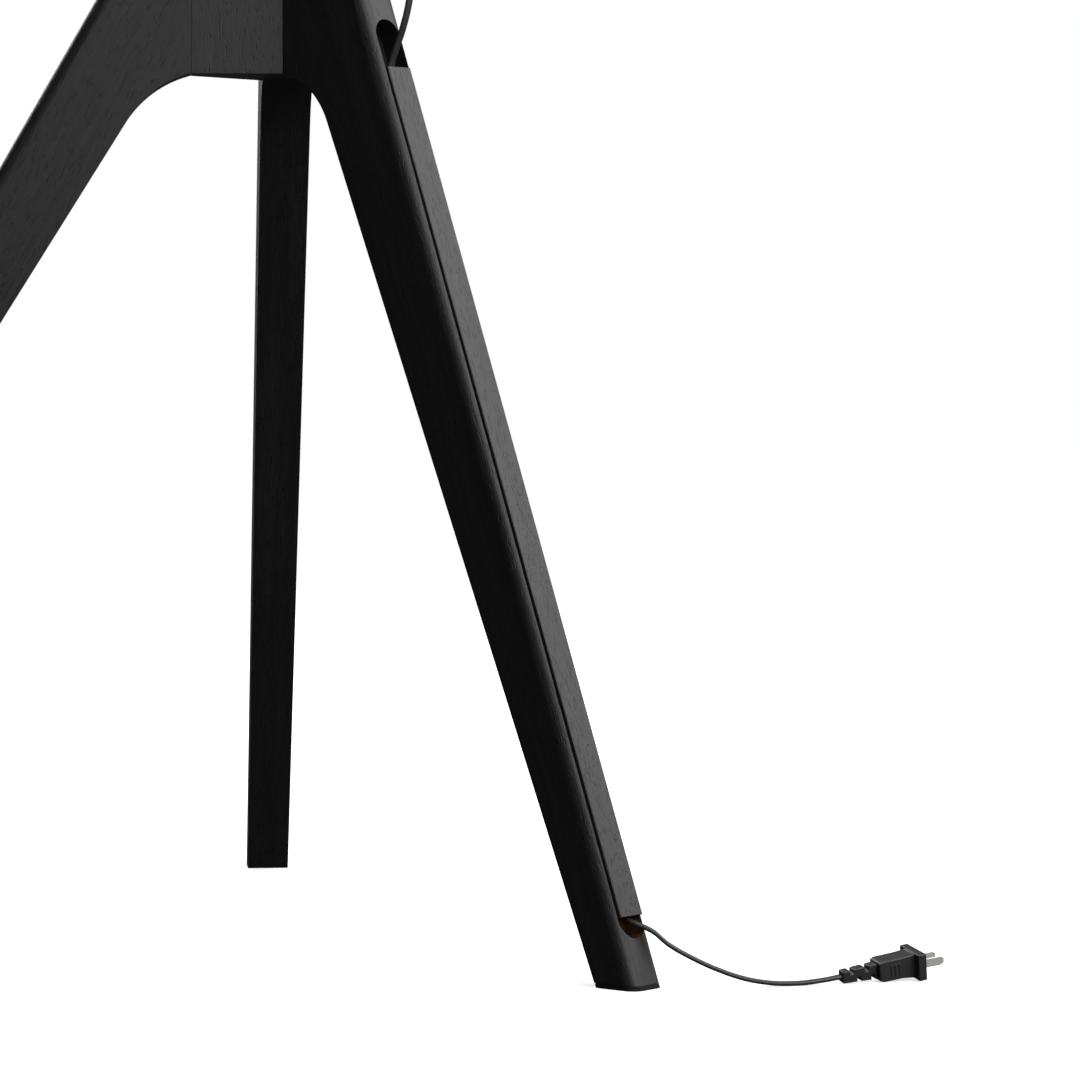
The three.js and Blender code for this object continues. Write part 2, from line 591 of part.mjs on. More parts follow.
// From the mast's grommet over to the rear leg, down its channel and out over the floor.
function cordRoute() {
  const channelDepth = -CHANNEL_CORD_DEPTH;
  const points = [
    new THREE.Vector3(0, MAST_AXIS_Y + MAST_BORE - 6, GROMMET_HEIGHT),
    new THREE.Vector3(0, MAST_AXIS_Y + MAST_RADIUS + 5, GROMMET_HEIGHT),
    new THREE.Vector3(0, 10, 870.5),
    new THREE.Vector3(0, 40, 861),
    new THREE.Vector3(0, 74, 835),
    new THREE.Vector3(0, 99, 795),
    new THREE.Vector3(0, 113, 750),
    new THREE.Vector3(0, 117, 717),
    new THREE.Vector3(0, 114, 694.5),
    new THREE.Vector3(0, 107.5, 674.5),
    channelPoint(701, 2.6, 0),
    channelPoint(694, -3.9, 0),
    channelPoint(687, -8.3, 0),
    channelPoint(678, -10.8, 0),
    channelPoint(668, channelDepth, 0),
    channelPoint(560, channelDepth, 0),
    channelPoint(460, channelDepth, 0),
    channelPoint(360, channelDepth, 0),
    channelPoint(260, channelDepth, 0),
    channelPoint(160, channelDepth, 0),
    channelPoint(90, channelDepth, 0),
    channelPoint(72, -11.4, -0.5),
    channelPoint(64, -10.6, -1.8),
    channelPoint(57, -9, -3.4),
    channelPoint(51.5, -6, -5.2),
    channelPoint(47, -1.8, -7.2),
    channelPoint(43, 3.9, -9.8),
    channelPoint(38.5, 7.8, -13),
    new THREE.Vector3(-19.5, 335.5, 31.2),
    new THREE.Vector3(-29, 347.5, 21.8),
    new THREE.Vector3(-41, 361.5, 13.2),
    new THREE.Vector3(-54, 376.5, 6.6),
    new THREE.Vector3(-67, 390.5, 3.7),
    new THREE.Vector3(-82, 403.5, 3.4),
    PLUG_START.clone().addScaledVector(PLUG_DIRECTION, -12),
    PLUG_START,
  ];
  const route = new THREE.CatmullRomCurve3(points, false, 'centripetal');
  // The steps are shared out between the points, so that they are short where the cord bends.
  route.getUtoTmapping = (share) => share;
  return route;
}

function cordGeometry() {
  const ring = new THREE.Shape();
  ring.absarc(0, 0, CORD_DIAMETER / 2, 0, Math.PI * 2, false);
  const route = cordRoute();
  return new THREE.ExtrudeGeometry(ring, {
    steps: 2 * (route.points.length - 1),
    curveSegments: CORD_SIDES / 2,
    bevelEnabled: false,
    extrudePath: route,
  });
}

// The plug is drawn along +X from the end of the cord.
const RELIEF_LENGTH = 27;
const BODY_LENGTH = 34;
const FLANGE = { thickness: 6.3, width: 29, height: 19.2 };
const BLADE_LENGTH = 17;
const BLADE_SPACING = 12.7;

// A flexible collar whose top and bottom are notched in turn.
function reliefGeometry() {
  const start = 0.5;
  const shape = new THREE.Shape();
  shape.moveTo(start, -4.2);
  shape.lineTo(RELIEF_LENGTH, -5.6);
  shape.lineTo(RELIEF_LENGTH, 5.6);
  shape.lineTo(start, 4.2);
  const notchWidth = 2.8;
  const notches = [7.5, 13, 19, 24].map((x, i) => {
    const side = i % 2 === 0 ? 1 : -1;
    return block(notchWidth, 20, 6, x, 0, side * 4.6);
  });
  const body = extrude(shape, 8).rotateX(Math.PI / 2).translate(0, 4, 0);
  return cut(body, notches);
}

// A grip that widens into a flange at the blades.
function plugBodyGeometry() {
  const start = RELIEF_LENGTH + GAP;
  const end = RELIEF_LENGTH + BODY_LENGTH;
  const side = new THREE.Shape();
  side.moveTo(start, -6.4);
  side.lineTo(start + 3, -7.6);
  side.lineTo(end - 16, -7.4);
  side.lineTo(end - 5, -8.7);
  side.lineTo(end - 2, -8.7);
  side.lineTo(end - 2, 8.7);
  side.lineTo(end - 5, 8.7);
  side.lineTo(end - 16, 7.8);
  side.lineTo(start + 3, 7.4);
  side.lineTo(start, 6.4);
  const gripWidth = 16;
  const grip = extrude(side, gripWidth).rotateX(Math.PI / 2).translate(0, gripWidth / 2, 0);
  const plate = block(FLANGE.thickness, FLANGE.width, FLANGE.height, end - FLANGE.thickness / 2, 0, 0);
  return join([grip, plate]);
}

function bladeGeometry(side) {
  const start = RELIEF_LENGTH + BODY_LENGTH + GAP;
  const tip = 2.5;
  const shape = new THREE.Shape();
  shape.moveTo(start, -3.2);
  shape.lineTo(start + BLADE_LENGTH - tip, -3.2);
  shape.lineTo(start + BLADE_LENGTH, -1.6);
  shape.lineTo(start + BLADE_LENGTH, 1.6);
  shape.lineTo(start + BLADE_LENGTH - tip, 3.2);
  shape.lineTo(start, 3.2);
  const thickness = 1.5;
  return extrude(shape, thickness).rotateX(Math.PI / 2)
    .translate(0, thickness / 2 + (side * BLADE_SPACING) / 2, 0);
}

function addCord(parent) {
  addPart(parent, 'power_cord', cordGeometry(), CORD_PVC);
  const plug = new THREE.Group();
  plug.position.copy(PLUG_START);
  plug.rotation.order = 'ZYX';
  plug.rotation.set(PLUG_ROLL, -PLUG_RISE, PLUG_TURN);
  parent.add(plug);
  addPart(plug, 'plug_strain_relief', reliefGeometry(), CORD_PVC);
  addPart(plug, 'plug_body', plugBodyGeometry(), CORD_PVC);
  addPart(plug, 'plug_blade_1', bladeGeometry(-1), NICKEL);
  addPart(plug, 'plug_blade_2', bladeGeometry(1), NICKEL);
}

// ---------------------------------------------------------------- assembly
function buildStand() {
  const root = new THREE.Group();
  root.name = 'tripod_floor_stand';

  // Everything here is placed from the line where the legs' middle planes meet.
  const base = new THREE.Group();
  root.add(base);
  addPart(base, 'hub_block', hubGeometry(), WOOD);
  const frontGeometry = frontLegGeometry();
  addLeg(base, 'front_right', FRONT_LEG, FRONT_AZIMUTH - 90, frontGeometry, FRONT_DOWEL);
  addLeg(base, 'front_left', FRONT_LEG, -90 - FRONT_AZIMUTH, frontGeometry, FRONT_DOWEL);
  const rearMount = addLeg(base, 'rear', REAR_LEG, 90, rearLegGeometry(), REAR_DOWEL);
  addChannelParts(rearMount);

  const mast = new THREE.Group();
  mast.position.y = MAST_AXIS_Y;
  base.add(mast);
  addMastBase(mast);
  addMast(mast);
  addHead(mast);

  const box = new THREE.Box3().setFromObject(base, true);
  base.position.y = -(box.min.y + box.max.y) / 2;

  const lead = new THREE.Group();
  lead.position.copy(base.position);
  root.add(lead);
  addCord(lead);
  return root;
}

export default buildStand();
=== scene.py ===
# The looks of a tripod floor stand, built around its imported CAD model. Metres, +Z up, the floor at
# z = 0, the front of the stand towards -Y.
import math

import bmesh
import bpy
from mathutils import Matrix, Vector


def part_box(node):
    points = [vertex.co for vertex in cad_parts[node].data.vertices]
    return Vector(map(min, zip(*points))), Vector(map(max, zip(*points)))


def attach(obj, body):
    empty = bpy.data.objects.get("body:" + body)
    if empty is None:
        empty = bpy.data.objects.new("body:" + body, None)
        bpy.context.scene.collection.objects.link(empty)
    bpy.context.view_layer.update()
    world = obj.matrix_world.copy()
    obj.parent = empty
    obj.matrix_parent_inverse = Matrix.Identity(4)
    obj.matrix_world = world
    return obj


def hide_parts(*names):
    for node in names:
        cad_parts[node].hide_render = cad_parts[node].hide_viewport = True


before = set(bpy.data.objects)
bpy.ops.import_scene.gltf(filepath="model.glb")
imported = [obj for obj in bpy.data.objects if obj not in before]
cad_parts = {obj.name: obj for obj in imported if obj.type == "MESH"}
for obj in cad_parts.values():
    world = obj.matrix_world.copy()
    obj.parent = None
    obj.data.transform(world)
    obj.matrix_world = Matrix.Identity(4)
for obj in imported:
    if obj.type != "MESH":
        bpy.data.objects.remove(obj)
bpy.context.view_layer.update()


MM = 0.001

# ---------------------------------------------------------------- sizes
LEG_THICKNESS = 38 * MM
REAR_BUTT = LEG_THICKNESS / 2 * (math.sqrt(2) - 1)  # from the meeting line to the rear leg's butt
# The legs' middle planes meet on an upright line, which lies this far behind the origin.
MEETING_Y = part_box("hub_block")[1].y - REAR_BUTT

# How far a leg's outer edge goes out for each unit down
FRONT_OUTER_SPLAY = 0.576
REAR_OUTER_SPLAY = 0.3584
REAR_OUTER_FOOT = 335.1 * MM  # from the meeting line to the rear leg's outer edge, at the floor

# The room in the rear leg's channel, from the plane of its outer edge inwards
CHANNEL_HALF_WIDTH = 13.2 * MM
CHANNEL_MOUTH = 1.5 * MM
CHANNEL_BOTTOM = 18.4 * MM
CHANNEL_LOWER_END = 36 * MM  # up the leg from the floor
CHANNEL_SHADE_START = 75 * MM  # the height where painted shade starts to darken the channel to near black

CORD_WIDTH = 6 * MM
CORD_STEP = 2.2 * MM  # between the rings of its mesh
LOBE_RADIUS = 1.6 * MM
LOBE_OFFSET = CORD_WIDTH / 2 - LOBE_RADIUS
LOBE_ARC = math.radians(128)  # each lobe's half angle, up to the web
LOBE_STEPS = 9
WEB_HALF_THICKNESS = 0.85 * MM

PLUG_START = Vector((-108, 419.7, 4.9)) * MM + Vector((0, MEETING_Y, 0))
PLUG_TURN = math.radians(151.5)
PLUG_RISE = math.radians(7.1)
PLUG_ROLL = math.radians(8)
RELIEF_LENGTH = 27 * MM
GRIP_BAR = (1.5 * MM, 0.9 * MM, 8 * MM)
GRIP_BARS = 3
GRIP_BAR_START = RELIEF_LENGTH + 9.5 * MM
GRIP_BAR_PITCH = 3.2 * MM
GRIP_BAR_OFFSET = 8.15 * MM  # to each side of the plug's middle

LEGS = ("front_right", "front_left", "rear")

# Edges that turn by more than this stay sharp in shading, or get a bevel.
SHARP_ANGLE = 40
BEVEL_ANGLE = 32


# ---------------------------------------------------------------- camera
# A long lens low behind the stand and to its right, as in the photograph
CAMERA_LENS = 149.80
CAMERA_PLACE = (2.4531, 2.2732, 0.4548)
CAMERA_TILT = math.radians(87.39)
CAMERA_TURN = math.radians(129.302)


def add_camera():
    data = bpy.data.cameras.new("camera")
    data.sensor_width = 36
    data.lens = CAMERA_LENS
    data.clip_start = 0.05
    data.clip_end = 60
    camera = bpy.data.objects.new("camera", data)
    camera.location = CAMERA_PLACE
    camera.rotation_euler = (CAMERA_TILT, 0, CAMERA_TURN)
    bpy.context.scene.collection.objects.link(camera)
    bpy.context.scene.camera = camera


# ---------------------------------------------------------------- meshes
def new_piece(name, mesh, material, body, replaces=()):
    piece = bpy.data.objects.new(name, mesh)
    bpy.context.scene.collection.objects.link(piece)
    mesh.materials.append(material)
    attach(piece, body)
    if replaces:
        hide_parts(*replaces)
    return piece


def mesh_from(name, bm, sharp_angle=SHARP_ANGLE):
    bmesh.ops.recalc_face_normals(bm, faces=bm.faces)
    mesh = bpy.data.meshes.new(name)
    bm.to_mesh(mesh)
    bm.free()
    mesh.shade_smooth()
    mesh.set_sharp_from_angle(angle=math.radians(sharp_angle))
    return mesh


def bevelled(mesh, width, segments=2):
    """The mesh with its sharp edges rounded, as a new mesh."""
    holder = bpy.data.objects.new("holder", mesh)
    bpy.context.scene.collection.objects.link(holder)
    modifier = holder.modifiers.new("bevel", "BEVEL")
    modifier.width = width
    modifier.segments = segments
    modifier.limit_method = "ANGLE"
    modifier.angle_limit = math.radians(BEVEL_ANGLE)
    modifier.use_clamp_overlap = True
    weighting = holder.modifiers.new("weighting", "WEIGHTED_NORMAL")
    weighting.mode = "FACE_AREA"
    weighting.keep_sharp = True
    graph = bpy.context.evaluated_depsgraph_get()
    result = bpy.data.meshes.new_from_object(holder.evaluated_get(graph))
    bpy.data.objects.remove(holder)
    return result


def rounded_copy(node, width, segments):
    """A copy of a CAD node's mesh with its flat faces merged and its edges rounded."""
    bm = bmesh.new()
    bm.from_mesh(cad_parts[node].data)
    bmesh.ops.remove_doubles(bm, verts=bm.verts, dist=0.002 * MM)
    flat = math.radians(0.6)
    bmesh.ops.dissolve_limit(bm, angle_limit=flat, verts=bm.verts, edges=bm.edges)
    mesh = bpy.data.meshes.new(node)
    bm.to_mesh(mesh)
    bm.free()
    mesh.materials.clear()
    mesh.shade_smooth()
    mesh.set_sharp_from_angle(angle=math.radians(SHARP_ANGLE))
    return bevelled(mesh, width, segments)


def refine(node, body, material, width=0.5 * MM, segments=2):
    """A finished piece that stands for a CAD node: its shape with rounded edges."""
    mesh = rounded_copy(node, width, segments)
    return new_piece(f"{node}_finished", mesh, material, body, replaces=[node])


def paint_node(node, material):
    """Gives its material to a CAD node that is shown as it is."""
    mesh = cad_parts[node].data
    mesh.materials.clear()
    mesh.materials.append(material)


# ---------------------------------------------------------------- materials
class Paint:
    """A principled material and the procedural nodes that feed it."""

    def __init__(self, name, metallic=0.0, specular=0.5):
        self.material = bpy.data.materials.new(name)
        self.material.use_nodes = True
        self.tree = self.material.node_tree
        self.shader = self.tree.nodes["Principled BSDF"]
        self.set("Metallic", metallic)
        self.set("Specular IOR Level", specular)
        coordinates = self.tree.nodes.new("ShaderNodeTexCoord")
        self.place = coordinates.outputs["Object"]

    def set(self, socket, value):
        self.shader.inputs[socket].default_value = value

    def link(self, output, socket):
        self.tree.links.new(output, socket)

    def along(self, direction, length, width, normal=(0, 0, 1)):
        """Coordinates stretched along a direction: one unit is length that way, width across."""
        first = Vector(direction).normalized()
        second = first.cross(Vector(normal)).normalized()
        if second.length < 0.5:
            second = first.orthogonal().normalized()
        third = first.cross(second)
        turn = Matrix((first, second, third)).transposed()
        mapping = self.tree.nodes.new("ShaderNodeMapping")
        mapping.vector_type = "TEXTURE"
        mapping.inputs["Rotation"].default_value = turn.to_euler("XYZ")
        mapping.inputs["Scale"].default_value = (length, width, width)
        self.link(self.place, mapping.inputs["Vector"])
        return mapping.outputs["Vector"]

    def noise(self, size=None, vector=None, detail=2.0, distortion=0.0):
        """Noise with features of the given size, or of one unit of the given coordinates."""
        node = self.tree.nodes.new("ShaderNodeTexNoise")
        node.inputs["Scale"].default_value = 1.0 if size is None else 1.0 / size
        node.inputs["Detail"].default_value = detail
        node.inputs["Distortion"].default_value = distortion
        self.link(self.place if vector is None else vector, node.inputs["Vector"])
        return node.outputs["Fac"]

    def ramp(self, value, stops):
        """Colours, or greys given as one number, blended between places on the value's range."""
        node = self.tree.nodes.new("ShaderNodeValToRGB")
        elements = node.color_ramp.elements
        while len(elements) < len(stops):
            elements.new(0.5)
        for element, (place, colour) in zip(elements, stops):
            element.position = place
            grey = colour if isinstance(colour, (tuple, list)) else (colour,) * 3
            element.color = (*grey, 1)
        self.link(value, node.inputs["Fac"])
        return node.outputs["Color"]

    def multiply(self, first, second):
        """The product of two colours."""
        node = self.tree.nodes.new("ShaderNodeMix")
        node.data_type = "RGBA"
        node.blend_type = "MULTIPLY"
        node.inputs["Factor"].default_value = 1.0
        self.link(first, node.inputs["A"])
        self.link(second, node.inputs["B"])
        return node.outputs["Result"]

    def combine(self, operation, first, second):
        """The sum, product or other combination of two values, each a number or an output."""
        node = self.tree.nodes.new("ShaderNodeMath")
        node.operation = operation
        for socket, value in zip(node.inputs, (first, second)):
            if isinstance(value, (int, float)):
                socket.default_value = value
            else:
                self.link(value, socket)
        return node.outputs["Value"]

    def distance(self):
        node = self.tree.nodes.new("ShaderNodeVectorMath")
        node.operation = "LENGTH"
        self.link(self.place, node.inputs[0])
        return node.outputs["Value"]

    def height(self):
        node = self.tree.nodes.new("ShaderNodeSeparateXYZ")
        self.link(self.place, node.inputs["Vector"])
        return node.outputs["Z"]

    def colour(self, output):
        self.link(output, self.shader.inputs["Base Color"])

    def roughness(self, value, low, high):
        node = self.tree.nodes.new("ShaderNodeMapRange")
        node.inputs["To Min"].default_value = low
        node.inputs["To Max"].default_value = high
        self.link(value, node.inputs["Value"])
        self.link(node.outputs["Result"], self.shader.inputs["Roughness"])

    def bump(self, height, depth, strength=1.0):
        node = self.tree.nodes.new("ShaderNodeBump")
        node.inputs["Distance"].default_value = depth
        node.inputs["Strength"].default_value = strength
        self.link(height, node.inputs["Height"])
        self.link(node.outputs["Normal"], self.shader.inputs["Normal"])


STAIN_DARK = (0.0075, 0.0073, 0.0073)
STAIN_PALE = (0.0160, 0.0156, 0.0154)
CHANNEL_WOOD = (0.15, 0.075, 0.022)
BEECH = (0.45, 0.30, 0.16)
STEEL_SHADE = 0.5


def stained_wood(name, direction, normal):
    """Black-stained hardwood: soft bands, fine fibres and short open pores along the grain."""
    paint = Paint(name)
    wide_grain = paint.along(direction, 300 * MM, 10 * MM, normal)
    fine_grain = paint.along(direction, 35 * MM, 1 * MM, normal)
    pore_grain = paint.along(direction, 6.5 * MM, 1.4 * MM, normal)
    bands = paint.noise(vector=wide_grain, detail=3, distortion=0.6)
    fibres = paint.noise(vector=fine_grain, detail=2)
    pores = paint.noise(vector=pore_grain, detail=1)
    open_pores = paint.ramp(pores, [(0.60, 1.0), (0.70, 0.0)])
    base = paint.ramp(bands, [(0.30, STAIN_DARK), (0.72, STAIN_PALE)])
    streaks = paint.ramp(fibres, [(0.25, 0.55), (0.75, 1.35)])
    stained = paint.multiply(base, streaks)
    pore_shade = paint.ramp(open_pores, [(0.0, 0.30), (1.0, 1.0)])
    paint.colour(paint.multiply(stained, pore_shade))
    half_fibres = paint.combine("MULTIPLY", fibres, 0.5)
    half_bands = paint.combine("MULTIPLY", bands, 0.5)
    paint.roughness(paint.combine("ADD", half_fibres, half_bands), 0.34, 0.62)
    relief = paint.combine("ADD", paint.combine("MULTIPLY", fibres, 0.45), open_pores)
    paint.bump(relief, 0.22 * MM, 0.6)
    return paint.material


def raw_wood(name, direction, tint, shaded_above=None):
    """Bare wood; above the given height, if there is one, painted shade darkens it to near black."""
    paint = Paint(name)
    grain = paint.along(direction, 20 * MM, 0.8 * MM, normal=(1, 0, 0))
    fibres = paint.noise(vector=grain, detail=3)
    dark = tuple(channel * 0.55 for channel in tint)
    wood = paint.ramp(fibres, [(0.3, dark), (0.7, tint)])
    # Painted shade: above the given height the bare wood fades to near black, standing in for the
    # dark inside the channel.
    if shaded_above is not None:
        height = paint.combine("SUBTRACT", paint.height(), shaded_above)
        fade = paint.combine("MULTIPLY", height, 30)  # full within 1/30 m
        shade = paint.ramp(fade, [(0.0, 1.0), (1.0, 0.02)])
        wood = paint.multiply(wood, shade)
    paint.colour(wood)
    paint.roughness(fibres, 0.65, 0.85)
    paint.bump(fibres, 0.15 * MM, 0.5)
    return paint.material


def rubber(name):
    paint = Paint(name, specular=0.3)
    grain = paint.noise(1.2 * MM, detail=3)
    paint.colour(paint.ramp(grain, [(0.3, 0.006), (0.7, 0.011)]))
    paint.roughness(grain, 0.75, 0.95)
    paint.bump(grain, 0.08 * MM, 0.6)
    return paint.material


def powder_coat(name):
    paint = Paint(name)
    pebbles = paint.noise(0.9 * MM, detail=2)
    haze = paint.noise(60 * MM, detail=2)
    paint.colour(paint.ramp(haze, [(0.3, 0.014), (0.7, 0.020)]))
    paint.roughness(pebbles, 0.42, 0.62)
    paint.bump(pebbles, 0.05 * MM, 0.7)
    return paint.material


def brushed_steel(name, direction):
    paint = Paint(name, metallic=1.0)
    lines = paint.noise(vector=paint.along(direction, 0.4 * MM, 20 * MM), detail=3)
    smudges = paint.noise(25 * MM, detail=3)
    paint.colour(paint.ramp(lines, [(0.25, STEEL_SHADE * 0.86), (0.75, STEEL_SHADE * 1.08)]))
    paint.roughness(smudges, 0.24, 0.42)
    paint.bump(lines, 0.01 * MM, 0.5)
    return paint.material


def moulded_plastic(name, shades=(0.010, 0.016), grain=0.6 * MM, roughness=(0.42, 0.6)):
    paint = Paint(name)
    texture = paint.noise(grain, detail=2)
    haze = paint.noise(30 * MM, detail=2)
    paint.colour(paint.ramp(haze, [(0.3, shades[0]), (0.7, shades[1])]))
    paint.roughness(texture, *roughness)
    paint.bump(texture, 0.04 * MM, 0.6)
    return paint.material


def nylon(name):
    paint = Paint(name)
    haze = paint.noise(8 * MM, detail=3)
    paint.colour(paint.ramp(haze, [(0.3, (0.60, 0.57, 0.49)), (0.7, (0.70, 0.67, 0.60))]))
    paint.roughness(haze, 0.45, 0.65)
    return paint.material


def nickel(name):
    paint = Paint(name, metallic=0.45)
    scuffs = paint.noise(vector=paint.along((1, 0, 0), 6 * MM, 0.5 * MM), detail=3)
    paint.colour(paint.ramp(scuffs, [(0.3, (0.88, 0.86, 0.80)), (0.7, (0.96, 0.95, 0.92))]))
    paint.roughness(scuffs, 0.16, 0.32)
    paint.bump(scuffs, 0.01 * MM, 0.4)
    return paint.material


# ---------------------------------------------------------------- legs and hub
REAR_UP = Vector((0, -REAR_OUTER_SPLAY, 1)).normalized()
REAR_OUT = Vector((0, 1, REAR_OUTER_SPLAY)).normalized()
DIAGONAL = math.sqrt(0.5)


def front_leg_up(side):
    """The way up a front leg's outer edge; side is 1 for the right leg and -1 for the left."""
    outward = Vector((side * DIAGONAL, -DIAGONAL, 0))
    return (Vector((0, 0, 1)) - FRONT_OUTER_SPLAY * outward).normalized()


def finish_wood():
    right_face, left_face = (DIAGONAL, DIAGONAL, 0), (-DIAGONAL, DIAGONAL, 0)
    wood = {
        "hub_block": stained_wood("black_wood_hub", (0, 0, 1), (0, 1, 0)),
        "rear_leg": stained_wood("black_wood_rear_leg", REAR_UP, (1, 0, 0)),
        "front_right_leg": stained_wood("black_wood_right_leg", front_leg_up(1), right_face),
        "front_left_leg": stained_wood("black_wood_left_leg", front_leg_up(-1), left_face),
    }
    for node, material in wood.items():
        refine(node, "stand", material, 0.7 * MM)
    line_channel()
    cover = stained_wood("black_wood_cover", REAR_UP, REAR_OUT)
    refine("cable_cover", "cover", cover, 0.45 * MM)


def line_channel():
    """The channel is bare wood, darkened to near black by painted shade above its lowest part."""
    leg = bpy.data.objects["rear_leg_finished"]
    # Painted shade darkens this bare wood to near black from 75 mm above the floor.
    bare = raw_wood("bare_channel_wood_and_painted_shade", REAR_UP, CHANNEL_WOOD, shaded_above=CHANNEL_SHADE_START)
    leg.data.materials.append(bare)
    foot = Vector((0, REAR_OUTER_FOOT + MEETING_Y, 0))
    for face in leg.data.polygons:
        place = face.center - foot
        station = place.dot(REAR_UP)
        depth = -place.dot(REAR_OUT)
        within = abs(place.x) < CHANNEL_HALF_WIDTH and CHANNEL_MOUTH < depth < CHANNEL_BOTTOM
        if within and station > CHANNEL_LOWER_END:
            face.material_index = 1


def finish_pads():
    material = rubber("black_rubber_pads")
    for leg in LEGS:
        refine(f"{leg}_foot_pad", "stand", material, 0.5 * MM)


# ---------------------------------------------------------------- cord
# The places that its route goes through are given in millimetres.
CHANNEL_CORD_LIFT = -11.5  # the cord lies this far under the plane of the leg's outer edge


def channel_point(station, lift, x):
    """A place so far up the rear leg's outer edge from the floor, out from it and to its side."""
    start = Vector((x * MM, REAR_OUTER_FOOT + MEETING_Y, 0))
    return start + REAR_UP * station * MM + REAR_OUT * lift * MM


def base_point(x, y, z):
    """A place with its y measured from the line where the legs' middle planes meet."""
    return Vector((x * MM, y * MM + MEETING_Y, z * MM))


def plug_turn():
    lie = Matrix.Rotation(-PLUG_RISE, 3, "Y") @ Matrix.Rotation(PLUG_ROLL, 3, "X")
    return Matrix.Rotation(PLUG_TURN, 3, "Z") @ lie


def cord_points():
    """From the mast's grommet over to the rear leg, down its channel and out over the floor."""
    deep = CHANNEL_CORD_LIFT
    return [
        Vector((0, 11 * MM, 872 * MM)),
        Vector((0, 24 * MM, 872 * MM)),
        base_point(0, 10, 870.5),
        base_point(0, 40, 861),
        base_point(0, 74, 835),
        base_point(0, 99, 795),
        base_point(0, 113, 750),
        base_point(0, 117, 717),
        base_point(0, 114, 694.5),
        base_point(0, 107.5, 674.5),
        channel_point(701, 2.6, 0),
        channel_point(694, -3.9, 0),
        channel_point(687, -8.3, 0),
        channel_point(678, -10.8, 0),
        channel_point(668, deep, 0),
        channel_point(560, deep, 0),
        channel_point(460, deep, 0),
        channel_point(360, deep, 0),
        channel_point(260, deep, 0),
        channel_point(160, deep, 0),
        channel_point(90, deep, 0),
        channel_point(72, -11.4, -0.5),
        channel_point(64, -10.6, -1.8),
        channel_point(57, -9, -3.4),
        channel_point(51.5, -6, -5.2),
        channel_point(47, -1.8, -7.2),
        channel_point(43, 2.7, -9.8),
        channel_point(38.5, 6.2, -13),
        base_point(-19.5, 335.5, 29.9),
        base_point(-29, 347.5, 21.0),
        base_point(-41, 361.5, 12.4),
        base_point(-54, 376.5, 5.6),
        base_point(-67, 390.5, 2.4),
        base_point(-82, 403.5, 1.9),
        PLUG_START - plug_turn() @ Vector((12 * MM, 0, 0)),
        PLUG_START.copy(),
    ]


def smooth_path(points, step):
    """A centripetal curve through the points, with places about a step apart."""
    path = []
    last = len(points) - 1
    for i in range(last):
        start, end = points[i], points[i + 1]
        before = points[i - 1] if i else 2 * start - end
        after = points[i + 2] if i + 1 < last else 2 * end - start
        gaps = [math.sqrt((b - a).length) for a, b in ((before, start), (start, end), (end, after))]
        leave = (start - before) / gaps[0] - (end - before) / (gaps[0] + gaps[1])
        leave = (leave + (end - start) / gaps[1]) * gaps[1]
        arrive = (end - start) / gaps[1] - (after - start) / (gaps[1] + gaps[2])
        arrive = (arrive + (after - end) / gaps[2]) * gaps[1]
        count = max(2, round((end - start).length / step))
        for k in range(count):
            t = k / count
            square = 3 * (end - start) - 2 * leave - arrive
            cube = 2 * (start - end) + leave + arrive
            path.append(start + leave * t + square * t * t + cube * t ** 3)
    path.append(points[-1].copy())
    return path


def cord_section():
    """The outline of a flat two-wire cord: two round lobes joined by a thin web."""
    outline = []
    for side in (1, -1):
        for k in range(LOBE_STEPS + 1):
            angle = -LOBE_ARC + 2 * LOBE_ARC * k / LOBE_STEPS
            wide = LOBE_OFFSET + LOBE_RADIUS * math.cos(angle)
            thick = LOBE_RADIUS * math.sin(angle)
            outline.append((side * wide, side * thick))
        outline.append((0, side * WEB_HALF_THICKNESS))
    return outline


def sweep(path, outline, wide):
    """A closed tube of that outline along the path, its wide way kept level."""
    bm = bmesh.new()
    rings = []
    for i, place in enumerate(path):
        ahead = (path[min(i + 1, len(path) - 1)] - path[max(i - 1, 0)]).normalized()
        level = Vector((0, 0, 1)).cross(ahead)
        if level.length > 0.25:
            level.normalize()
            wide = level if level.dot(wide) > 0 else -level
        wide = (wide - ahead * wide.dot(ahead)).normalized()
        thick = ahead.cross(wide)
        rings.append([bm.verts.new(place + wide * a + thick * b) for a, b in outline])
    for first, second in zip(rings, rings[1:]):
        for k in range(len(outline)):
            j = (k + 1) % len(outline)
            bm.faces.new((first[k], first[j], second[j], second[k]))
    bm.faces.new(rings[0])
    bm.faces.new(rings[-1])
    return bm


def make_cord(material):
    path = smooth_path(cord_points(), CORD_STEP)
    bm = sweep(path, cord_section(), Vector((1, 0, 0)))
    mesh = mesh_from("power_cord_flex", bm, sharp_angle=50)
    cord = new_piece("power_cord_flex", mesh, material, "stand", ["power_cord"])
    length = sum((b - a).length for a, b in zip(path, path[1:]))
    return cord, path, length


# ---------------------------------------------------------------- plug
def at_plug(mesh):
    """Puts a mesh made around the plug's own axes where the plug lies."""
    mesh.transform(Matrix.Translation(PLUG_START) @ plug_turn().to_4x4())
    return mesh


def box_into(bm, size, centre):
    matrix = Matrix.Translation(centre) @ Matrix.Diagonal((*size, 1))
    bmesh.ops.create_cube(bm, size=1, matrix=matrix)


def make_plug(material, metal):
    pieces = [
        refine("plug_strain_relief", "stand", material, 0.7 * MM, 3),
        refine("plug_body", "stand", material, 1.3 * MM, 3),
    ]
    bm = bmesh.new()
    for side in (-1, 1):
        for k in range(GRIP_BARS):
            x = GRIP_BAR_START + GRIP_BAR_PITCH * k
            box_into(bm, GRIP_BAR, Vector((x, side * GRIP_BAR_OFFSET, 0)))
    bars = bevelled(mesh_from("plug_grip_bars", bm), 0.35 * MM)
    pieces.append(new_piece("plug_grip_bars", at_plug(bars), material, "stand"))
    for i in (1, 2):
        pieces.append(refine(f"plug_blade_{i}", "stand", metal, 0.25 * MM))
    return pieces


